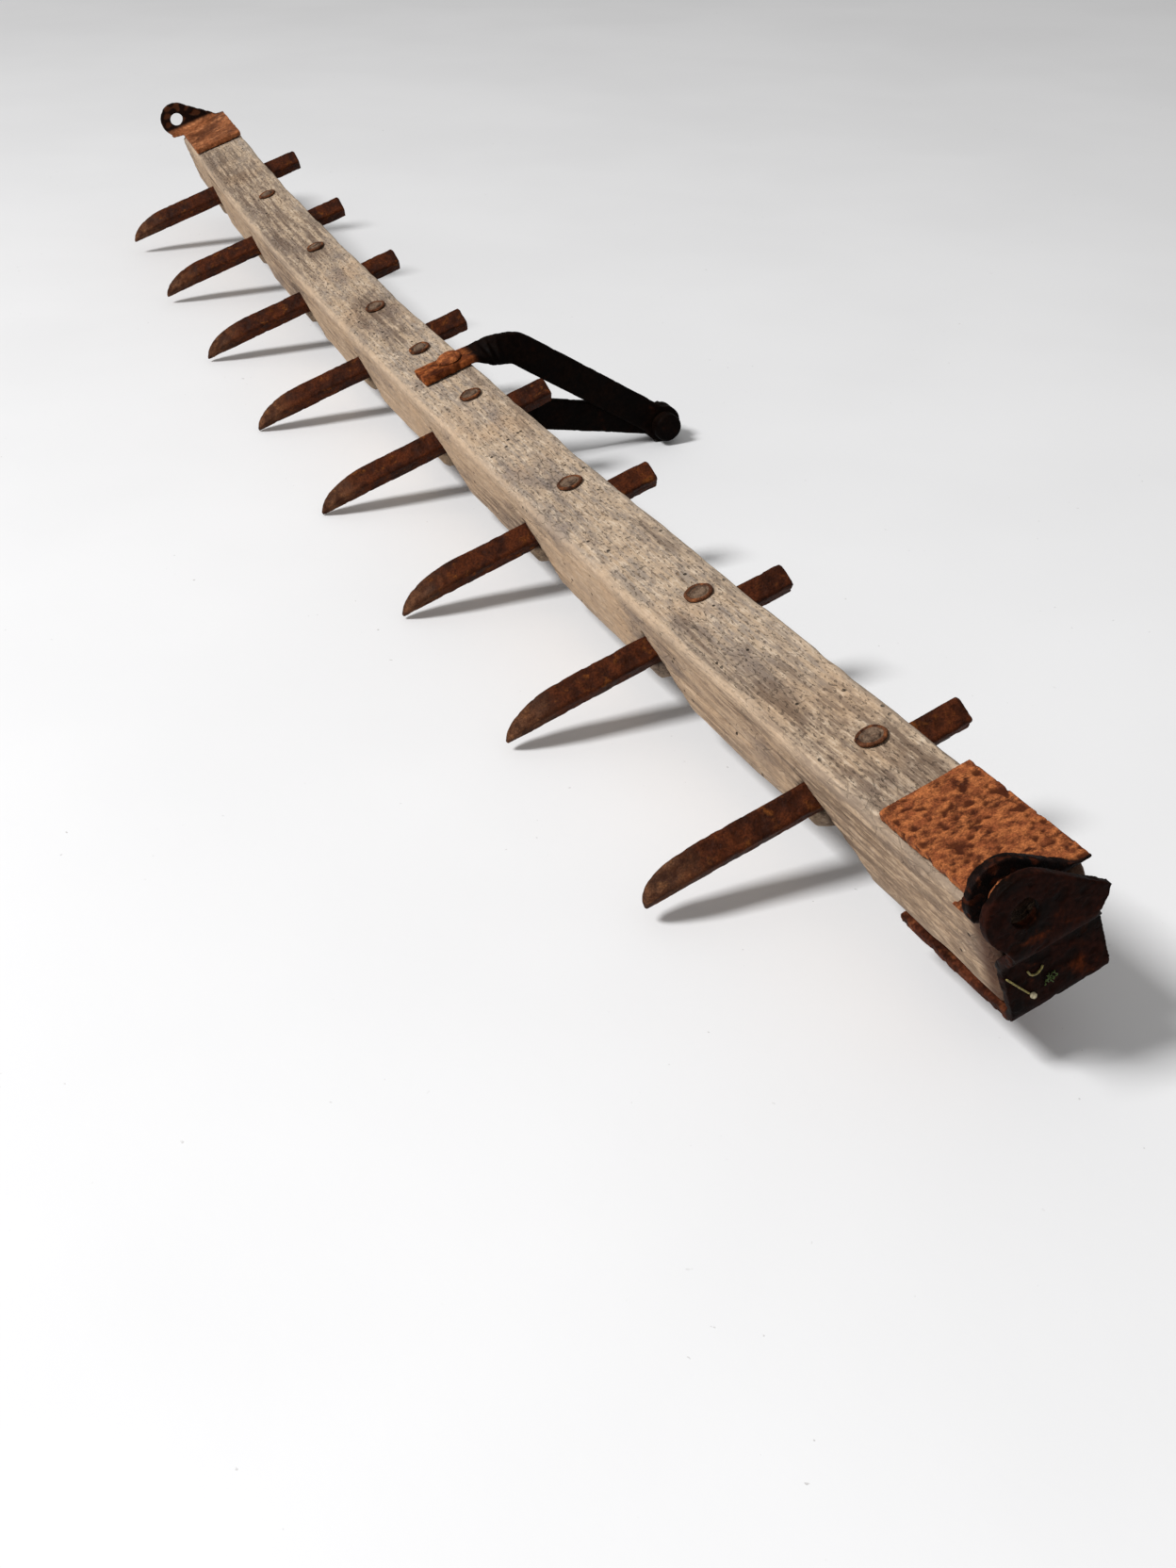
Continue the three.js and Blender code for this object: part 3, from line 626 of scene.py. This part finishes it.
def makeWoodMaterial(look):
    material, tree, shader = newMaterial("weatheredWood")
    place = attributeNode(tree, "barPlace").outputs["Vector"]
    names = ("paintedNotchShade", "gapRing", "crack", "corner", "endGrain")
    mask = {name: attributeNode(tree, name).outputs["Fac"] for name in names}
    split = addNode(tree, "ShaderNodeSeparateXYZ", {"Vector": place})
    streak = noiseNode(tree, stretched(tree, place, (14, 260, 260)), 1.0, 5.0, 0.68)
    fibre = noiseNode(tree, stretched(tree, place, (60, 950, 950)), 1.0, 3.0, 0.6)
    mottle = noiseNode(tree, stretched(tree, place, (95, 230, 230), (2, 7, 3)), 1.0, 4.0, 0.72)
    speck = noiseNode(tree, stretched(tree, place, (230, 560, 560), (5, 2, 1)), 1.0, 2.0, 0.55)
    patch = noiseNode(tree, place, 14.0, 4.0, 0.6)
    stain = noiseNode(tree, stretched(tree, place, (9, 24, 24), (9, 4, 2)), 1.0, 5.0, 0.65)
    tone = mathNode(tree, "ADD", scaled(tree, streak, 0.55), scaled(tree, mottle, 0.45))
    weather = noiseNode(tree, stretched(tree, place, (5.5, 14, 14), (1.5, 0.4, 0.8)), 1.0, 4.0, 0.6)
    color = mixed(tree, ranged(tree, tone, 0.42, 0.56), look["grey"], look["tan"])
    light = mathNode(tree, "ADD", scaled(tree, fibre, 0.5), scaled(tree, mottle, 0.5))
    color = mixed(tree, scaled(tree, ranged(tree, light, 0.5, 0.62), 0.75), color, look["pale"])
    color = mixed(tree, scaled(tree, ranged(tree, light, 0.46, 0.36), 0.8), color, look["brown"])
    color = mixed(tree, scaled(tree, ranged(tree, patch, 0.5, 0.7), 0.45), color, look["sideTan"])
    side = ranged(tree, split.outputs["Y"], 0.022, 0.027)
    under = ranged(tree, split.outputs["Z"], -0.024, -0.0275)
    color = mixed(tree, scaled(tree, side, 0.5), color, look["sideTan"])
    color = mixed(tree, scaled(tree, under, 0.5), color, look["brown"])
    color = mixed(tree, scaled(tree, ranged(tree, stain, 0.5, 0.68), 0.62), color, look["stain"])
    deep = mathNode(tree, "MULTIPLY", ranged(tree, weather, 0.44, 0.6), ranged(tree, streak, 0.6, 0.4))
    color = mixed(tree, scaled(tree, deep, 0.8), color, look["deep"])
    nearFork = ranged(tree, split.outputs["X"], -0.60, -0.71)
    damp = mathNode(tree, "MULTIPLY", nearFork, ranged(tree, tone, 0.6, 0.44))
    color = mixed(tree, scaled(tree, damp, 0.62), color, look["deep"])
    calm = mathNode(tree, "SUBTRACT", 1.0, scaled(tree, side, 0.7))
    specks = mathNode(tree, "MULTIPLY", ranged(tree, speck, 0.585, 0.66), calm)
    color = mixed(tree, scaled(tree, specks, 0.55), color, look["dark"])
    cells = {"Vector": stretched(tree, place, (75, 150, 150)), "Scale": 1.0}
    checks = addNode(tree, "ShaderNodeTexVoronoi", cells, feature="DISTANCE_TO_EDGE")
    checkLine = ranged(tree, checks.outputs["Distance"], 0.05, 0.015)
    crazed = mathNode(tree, "MULTIPLY", checkLine, ranged(tree, stain, 0.46, 0.6))
    crazed = mathNode(tree, "MULTIPLY", crazed, ranged(tree, mottle, 0.46, 0.56))
    color = mixed(tree, scaled(tree, crazed, 0.3), color, look["dark"])
    spots = {"Vector": stretched(tree, place, (0.8, 1, 1)), "Scale": 105.0}
    worms = addNode(tree, "ShaderNodeTexVoronoi", spots)
    rare = noiseNode(tree, place, 35.0, 1.0)
    wormHole = ranged(tree, worms.outputs["Distance"], 0.13, 0.08)
    holes = mathNode(tree, "MULTIPLY", wormHole, ranged(tree, rare, 0.5, 0.56))
    color = mixed(tree, scaled(tree, holes, 0.9), color, look["black"])
    color = mixed(tree, scaled(tree, mask["corner"], 0.25), color, look["pale"])
    # painted shade in the notches: brown, and dark where they are deepest
    color = mixed(tree, scaled(tree, mask["paintedNotchShade"], 0.55), color, look["brown"])
    color = mixed(tree, scaled(tree, ranged(tree, mask["paintedNotchShade"], 0.55, 1.0), 0.8), color, look["dark"])
    color = mixed(tree, scaled(tree, mask["gapRing"], 0.9), color, look["black"])
    color = mixed(tree, scaled(tree, ranged(tree, mask["crack"], 0.1, 0.75), 0.9), color, look["black"])
    underCover = ranged(tree, split.outputs["X"], -0.838, -0.852)
    color = mixed(tree, scaled(tree, underCover, 0.85), color, look["rustStain"])
    rings = noiseNode(tree, stretched(tree, place, (20, 60, 420)), 1.0, 3.0, 0.5)
    endColor = mixed(tree, ranged(tree, rings, 0.4, 0.62), look["dark"], look["brown"])
    color = mixed(tree, mask["endGrain"], color, endColor)
    tree.links.new(color, shader.inputs["Base Color"])
    shader.inputs["Roughness"].default_value = 0.94
    shader.inputs["Specular IOR Level"].default_value = 0.2
    height = mathNode(tree, "ADD", scaled(tree, fibre, 0.45), scaled(tree, tone, 0.9))
    for dip, weight in ((specks, 0.6), (holes, 1.4), (crazed, 0.6)):
        height = mathNode(tree, "SUBTRACT", height, scaled(tree, dip, weight))
    addBump(tree, shader, height, 0.9, 0.0011)
    return material


makeWoodenBar(woodShape, makeWoodMaterial(woodLook))
print("wooden bar ready")


# A finer, softer copy of solids: edges eased, the skin dented and eaten by rust.
def forgedPiece(name, body, slotName, material, nodes, shape, paintedShadeAndWearMask=None):
    builder = bmesh.new()
    for node in nodes:
        builder.from_mesh(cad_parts[node].data)
    source = bpy.data.meshes.new(name + "Source")
    builder.to_mesh(source)
    builder.free()
    draft = bpy.data.objects.new(name + "Draft", source)
    bpy.context.scene.collection.objects.link(draft)
    remesh = draft.modifiers.new("remesh", "REMESH")
    remesh.mode = "VOXEL"
    remesh.voxel_size = shape["voxel"] * 1
    relax = draft.modifiers.new("relax", "SMOOTH")
    relax.factor = 0.5
    relax.iterations = shape["relax"]
    graph = bpy.context.evaluated_depsgraph_get()
    mesh = bpy.data.meshes.new_from_object(draft.evaluated_get(graph))
    bpy.data.objects.remove(draft)
    bpy.data.meshes.remove(source)
    mesh.name = name
    if "of_normal" in mesh.attributes:
        mesh.attributes.remove(mesh.attributes["of_normal"])
    mesh.polygons.foreach_set("use_smooth", [True] * len(mesh.polygons))
    points, normals = pointsOf(mesh), normalsOf(mesh)
    seed = sum(ord(letter) for letter in name) * 0.37
    move = shape["dent"] * noiseAt(points, 70, seed) + shape["grit"] * noiseAt(points, 420, seed + 5)
    pitNoise = noiseAt(points, shape["pitScale"], seed + 9)
    eaten = smoothStep(shape.get("pitEdge", 0.12), 0.42, pitNoise)
    move -= shape["pit"] * eaten
    move -= shape.get("inset", 0.0)
    storePoints(mesh, points + normals * move[:, None])
    piece = bpy.data.objects.new(name, mesh)
    bpy.context.scene.collection.objects.link(piece)
    # the pit mask is also kept for the painted shade in the pits
    storeMask(mesh, "pit", eaten)
    if paintedShadeAndWearMask is not None:
        storeMask(mesh, "paintedShadeAndWearMask", paintedShadeAndWearMask(straightPlaces(points)))
    finishPiece(piece, body, slotName, material, *nodes)


toothLook = {
    "scale": 70.0,
    "dark": rgb(42, 18, 8),
    "middle": rgb(76, 36, 17),
    "bright": rgb(116, 66, 28),
    "brightAmount": 0.3,
    "pitAmount": 0.4,
    "bump": 0.8,
    "paintedShadeAndWear": {
        "dark": rgb(58, 35, 23),
        "middle": rgb(94, 61, 41),
        "bright": rgb(114, 76, 48),
        "brightAmount": 0.35,
    },
}
toothShape = {"voxel": 0.0008, "relax": 6, "dent": 0.00035, "grit": 0.00009, "pit": 0.0003, "pitScale": 170}


def makeTeeth(look, shape):
    material = rustMaterial("toothRust", look)

    def pointShade(places):  # the drawn points are worn smoother and browner
        return smoothStep(0.085, 0.125, places[:, 1])

    for i in range(8):
        node = f"tooth_{i + 1}"
        forgedPiece(f"forgedTooth_{i + 1}", "harrow_bar", "tooth_iron", material, [node], shape, pointShade)


makeTeeth(toothLook, toothShape)
print("teeth ready")

footLook = {
    "scale": 95.0,
    "dark": rgb(62, 27, 13),
    "middle": rgb(134, 73, 42),
    "bright": rgb(164, 97, 56),
    "brightAmount": 0.58,
    "pitAmount": 0.3,
    # strong painted shade in the pits
    "paintedPitShade": 0.9,
    "bump": 0.9,
    # near-black painted shade for the raised ear, which faces away from the light
    "paintedShadeAndWear": {
        "dark": rgb(10, 5, 4),
        "middle": rgb(26, 12, 8),
        "bright": rgb(84, 40, 20),
        "brightAmount": 0.25,
    },
}
# The cover's main colours are near-black: painted shade on the outer ear, which faces away from the light.
# The second set is the foot's own brown rust.
coverLook = {
    "scale": 34.0,
    "dark": rgb(10, 4, 2),
    "middle": rgb(36, 14, 8),
    "bright": rgb(84, 38, 18),
    "brightAmount": 0.3,
    "paintedShadeAndWear": {
        "dark": rgb(44, 20, 12),
        "middle": rgb(84, 43, 27),
        "bright": rgb(116, 66, 40),
        "brightAmount": 0.35,
    },
    "pitAmount": 0.5,
    "bump": 0.8,
    "specular": 0.03,
}
lugLook = {
    "scale": 30.0,
    "dark": rgb(92, 52, 30),
    "middle": rgb(146, 88, 54),
    "bright": rgb(172, 112, 74),
    "brightAmount": 0.5,
    "pitAmount": 0.2,
    "bump": 0.4,
    # near-black painted shade for the upright lug plate, which faces away from the light
    "paintedShadeAndWear": {
        "dark": rgb(10, 5, 4),
        "middle": rgb(28, 14, 9),
        "bright": rgb(66, 34, 20),
        "brightAmount": 0.2,
    },
}
strapShape = {
    "voxel": 0.0008,
    "relax": 4,
    "dent": 0.0003,
    "grit": 0.0001,
    "pit": 0.0005,
    "pitScale": 160,
    "inset": 0.0001,
}
pittedShape = dict(strapShape, pit=0.0007, pitScale=215, pitEdge=0.2, dent=0.00014, grit=0.00008)


def makeStraps():
    # marks the raised ear and the ear beyond the bend for their painted shade
    def earShade(places):
        raised = smoothStep(0.0362, 0.0405, places[:, 2])
        return np.maximum(raised, smoothStep(-0.8585, -0.8625, places[:, 0]))

    # marks the upright lug plate and the lug end for their painted shade
    def lugShade(places):
        raised = smoothStep(0.0362, 0.0405, places[:, 2])
        return np.maximum(raised, smoothStep(0.8205, 0.8245, places[:, 0]))

    def footUnderBar(places):  # the foot under the bar keeps the strap's brown rust; the rest of the cover is painted near-black shade
        return smoothStep(-0.862, -0.857, places[:, 0]) * smoothStep(-0.026, -0.029, places[:, 2])

    pitted = rustMaterial("footRustAndEarShade", footLook)
    cover = rustMaterial("coverRustInPaintedShade", coverLook)
    lug = rustMaterial("lugRustAndPlateShade", lugLook)
    forkNodes = ["fork_inner_strap", "fork_strap_rivet_1", "fork_strap_rivet_2"]
    lugNodes = ["lug_strap", "lug_strap_rivet_1", "lug_strap_rivet_2"]
    coverNodes = ["fork_outer_strap"]
    forgedPiece("forkInnerStrap", "harrow_bar", "strap_iron", pitted, forkNodes, pittedShape, earShade)
    forgedPiece("forkOuterStrap", "harrow_bar", "strap_iron", cover, coverNodes, strapShape, footUnderBar)
    forgedPiece("lugStrap", "harrow_bar", "strap_iron", lug, lugNodes, strapShape, lugShade)


makeStraps()
print("end straps ready")

# The bracket's main colours are near-black: painted shade on the arms, which face away from the light. The
# second set is the bright rust of the foot on the timber.
bracketLook = {
    "scale": 30.0,
    "dark": rgb(5, 2, 1),
    "middle": rgb(16, 7, 4),
    "bright": rgb(50, 23, 12),
    "brightAmount": 0.2,
    "pitAmount": 0.25,
    "bump": 0.45,
    "specular": 0.03,
    "paintedShadeAndWear": {
        "dark": rgb(48, 20, 10),
        "middle": rgb(110, 56, 28),
        "bright": rgb(156, 88, 46),
        "brightAmount": 0.5,
    },
}
boltLook = {
    "scale": 70.0,
    "dark": rgb(62, 28, 14),
    "middle": rgb(124, 66, 36),
    "bright": rgb(166, 98, 56),
    "brightAmount": 0.55,
    "pitAmount": 0.4,
    "bump": 0.7,
}
bracketShape = {
    "voxel": 0.0008,
    "relax": 5,
    "dent": 0.0003,
    "grit": 0.00008,
    "pit": 0.0003,
    "pitScale": 170,
    "inset": 0.00015,
}
smallShape = {"voxel": 0.0006, "relax": 4, "dent": 0.00025, "grit": 0.0001, "pit": 0.0002, "pitScale": 260}


def makeBracket():
    def footOnTimber(places):  # the foot on the timber keeps the rust's bright orange; the arms beyond it are painted near-black shade
        return smoothStep(-0.034, -0.024, places[:, 1])

    iron = rustMaterial("bracketIron", bracketLook)
    rust = rustMaterial("boltRust", boltLook)
    for side in ("Upper", "Lower"):
        nodes = [f"bracket_{side.lower()}_arm"]
        forgedPiece(f"bracket{side}Arm", "harrow_bar", "bracket_iron", iron, nodes, bracketShape, footOnTimber)
    forgedPiece("bracketBolt", "harrow_bar", "rivet_iron", rust, ["bracket_bolt"], smallShape)
    forgedPiece("bracketNut", "harrow_bar", "bracket_iron", rust, ["bracket_nut"], smallShape)
    # the link pin and nut get the bracket's near-black painted shade
    plain = rustMaterial("linkIronInPaintedShade", {key: value for key, value in bracketLook.items() if key != "paintedShadeAndWear"})
    forgedPiece("linkPin", "link", "bracket_iron", plain, ["link_pin"], smallShape)
    forgedPiece("linkNut", "link", "bracket_iron", plain, ["link_pin_nut"], smallShape)


makeBracket()
print("bracket ready")

# Rivets through the bar.
burrLook = {
    "scale": 90.0,
    "dark": rgb(44, 24, 16),
    "middle": rgb(96, 60, 40),
    "bright": rgb(134, 82, 50),
    "brightAmount": 0.45,
    "pitAmount": 0.3,
    "bump": 0.5,
    "paintedShadeAndWear": {
        "dark": rgb(66, 50, 40),
        "middle": rgb(118, 97, 80),
        "bright": rgb(110, 76, 52),
        "brightAmount": 0.3,
    },
}
# Radius and height of the rivet's outline, in millimetres from the middle of the bar.
rivetShape = {
    "back": -0.006,
    "facets": 56,
    "profile": [
        (0, -31.85), (3.0, -31.75), (5.2, -31.15), (6.4, -30.15), (6.5, -29.55), (3.2, -29.45),
        (3.2, 29.15), (7.6, 29.15), (8.6, 29.45), (8.75, 30.15), (8.4, 30.95), (7.7, 31.3),
        (7.0, 31.15), (6.3, 30.55), (5.7, 30.15), (5.2, 30.05), (4.9, 30.35), (4.7, 31.05),
        (4.1, 31.5), (3.0, 31.45), (1.6, 31.15), (0, 31.05),
    ],
}


def makeRivets(look, shape):
    material = rustMaterial("burrRust", look)
    profile = denser(shape["profile"], 0.5)
    facets = shape["facets"]
    for number in range(1, 9):
        node = f"bar_rivet_{number}"
        low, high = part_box(node)
        x = (low[0] + high[0]) / 2 - barLine["place"][0]
        place = stationMatrix(x) @ Matrix.Translation((0, shape["back"], 0))
        tilt = Matrix.Rotation(math.radians(3.0 * math.sin(number * 1.9)), 4, "Y")
        verts, paintedShadeAndWearMask = [], []
        for radius, height in profile[1:-1]:
            for i in range(facets):
                angle = 2 * math.pi * i / facets
                around = (math.cos(angle) * 1.6, math.sin(angle) * 1.6, height * 0.4 + number * 5)
                bump = noise.noise(Vector(around))
                dished = 1 + (0.07 * bump if radius > 3.3 else 0)
                reach = radius * dished
                flat = Vector((reach * math.cos(angle), reach * math.sin(angle), 0)) / 1000
                lift = (height + (0.25 * bump if height > 29 else 0)) / 1000
                top = tilt @ flat if height > 29 else flat
                verts.append(place @ Vector((top.x, top.y, lift + top.z)))
                paintedShadeAndWearMask.append(1.0 if height > 29 and radius < 6.4 else 0.0)
        faces = []
        for ring in range(len(profile) - 3):
            for i in range(facets):
                a, b = ring * facets + i, ring * facets + (i + 1) % facets
                faces.append((a, b, b + facets, a + facets))
        lastRing = (len(profile) - 3) * facets
        for height, first, flip in ((profile[0][1], 0, True), (profile[-1][1], lastRing, False)):
            verts.append(place @ Vector((0, 0, height / 1000)))
            paintedShadeAndWearMask.append(1.0)
            for i in range(facets):
                fan = (first + i, first + (i + 1) % facets, len(verts) - 1)
                faces.append(fan[::-1] if flip else fan)
        rivet = meshObject(f"rivetAndBurr_{number}", verts, faces)
        storeMask(rivet.data, "paintedShadeAndWearMask", np.array(paintedShadeAndWearMask))
        finishPiece(rivet, "harrow_bar", "rivet_iron", material, node, f"bar_rivet_burr_{number}")


def denser(profile, step):
    fine = [profile[0]]
    for (fromR, fromH), (toR, toH) in zip(profile, profile[1:]):
        length = math.hypot(toR - fromR, toH - fromH)
        count = max(1, min(4, round(length / step)))
        for i in range(1, count + 1):
            fine.append((fromR + (toR - fromR) * i / count, fromH + (toH - fromH) * i / count))
    return fine


makeRivets(burrLook, rivetShape)
for number in (1, 2):
    burrRust = rustMaterial(f"lugBurrRust_{number}", boltLook)
    nodes = [f"lug_strap_burr_{number}"]
    forgedPiece(f"lugBurr_{number}", "harrow_bar", "rivet_iron", burrRust, nodes, smallShape)
print("rivets ready")

# What the weather left on the end of the bar.
# Places across and above the bar, on the outer face of the cover, in millimetres.
litterLook = {
    "face": -6.7,  # from the end of the bar
    "straw": [(28.5, -2.0), (25.5, -7.0), (22.3, -12.5), (19.0, -17.8)],
    "curl": [(17.5, -4.5), (16.2, -7.8), (13.4, -8.9), (10.6, -7.6), (9.6, -6.0)],
    "mossPlace": (7.5, -14.5),
    "seedPlace": (17.8, -19.2),
    "strawColor": rgb(150, 136, 74),
    "seedColor": rgb(206, 192, 158),
    "mossColor": rgb(74, 92, 34),
}


def litterMaterial(name, color):
    material, tree, shader = newMaterial(name)
    place = addNode(tree, "ShaderNodeTexCoord").outputs["Object"]
    grain = noiseNode(tree, place, 900.0, 3.0)
    darker = tuple(c * 0.45 for c in color[:3]) + (1,)
    tree.links.new(mixed(tree, ranged(tree, grain, 0.35, 0.65), darker, color), shader.inputs["Base Color"])
    tree.links.new(ranged(tree, grain, 0.3, 0.7, 0.6, 0.9), shader.inputs["Roughness"])
    addBump(tree, shader, grain, 0.5, 0.0003)
    return material


def strandParts(points, radius, verts, faces, sides=8):
    points = [Vector(p) for p in points]
    first = len(verts)
    for i, point in enumerate(points):
        along = (points[min(i + 1, len(points) - 1)] - points[max(i - 1, 0)]).normalized()
        across = along.cross(Vector((1, 0, 0))).normalized()
        up = along.cross(across)
        width = radius * (0.55 if i in (0, len(points) - 1) else 1)
        for k in range(sides):
            angle = 2 * math.pi * k / sides
            verts.append(point + across * (width * math.cos(angle)) + up * (width * math.sin(angle)))
    for i in range(len(points) - 1):
        for k in range(sides):
            a, b = first + i * sides + k, first + i * sides + (k + 1) % sides
            faces.append((a, a + sides, b + sides, b))
    last = first + (len(points) - 1) * sides
    faces.append(tuple(first + k for k in range(sides)))
    faces.append(tuple(last + k for k in reversed(range(sides))))


# One coordinate of the smooth curve from b to c, with a before them and d after them.
def curveAt(t, a, b, c, d):
    bend = (2 * a - 5 * b + 4 * c - d) * t * t
    return 0.5 * (2 * b + (c - a) * t + bend + (3 * b - a - 3 * c + d) * t ** 3)


def smoothPath(points, steps=6):
    path = []
    for i in range(len(points) - 1):
        before, start = points[max(i - 1, 0)], points[i]
        end, after = points[i + 1], points[min(i + 2, len(points) - 1)]
        for k in range(steps):
            t = k / steps
            path.append(tuple(curveAt(t, *row) for row in zip(before, start, end, after)))
    return path + [points[-1]]


def makeLitter(look):
    face = look["face"]

    def placed(name, verts, faces, color):
        turn = stationMatrix(barLine["forkEnd"])
        piece = meshObject(name, [turn @ (v / 1000) for v in verts], faces)
        finishPiece(piece, "harrow_bar", "weathered_wood", litterMaterial(name + "Finish", color))

    verts, faces = [], []
    strandParts([(face - 0.3, y, z) for y, z in smoothPath(look["straw"])], 0.5, verts, faces)
    strandParts([(face - 0.2, y, z) for y, z in smoothPath(look["curl"])], 0.55, verts, faces)
    placed("caughtStraw", verts, faces, look["strawColor"])

    verts, faces = [], []
    draw = random.Random(7)
    for _ in range(16):
        y, z = (c + draw.uniform(-2.6, 2.6) for c in look["mossPlace"])
        turn = draw.uniform(0, 2 * math.pi)
        reach = draw.uniform(1.2, 2.6)
        tip = (y + reach * math.cos(turn), z + reach * math.sin(turn))
        middle = (face - draw.uniform(0.5, 1.2), (y + tip[0]) / 2, (z + tip[1]) / 2)
        strandParts(smoothPath([(face + 0.3, y, z), middle, (face - 0.2, *tip)], 3), 0.32, verts, faces, 6)
    placed("caughtMoss", verts, faces, look["mossColor"])

    ball = bmesh.new()
    bmesh.ops.create_icosphere(ball, subdivisions=3, radius=1.6)
    seedY, seedZ = look["seedPlace"]
    seedPlace = Vector((face - 1.0, seedY, seedZ))
    verts = [v.co * (1 + 0.12 * noise.noise(v.co * 1.1)) + seedPlace for v in ball.verts]
    faces = [tuple(v.index for v in f.verts) for f in ball.faces]
    ball.free()
    placed("caughtSeed", verts, faces, look["seedColor"])


makeLitter(litterLook)
print("litter ready")
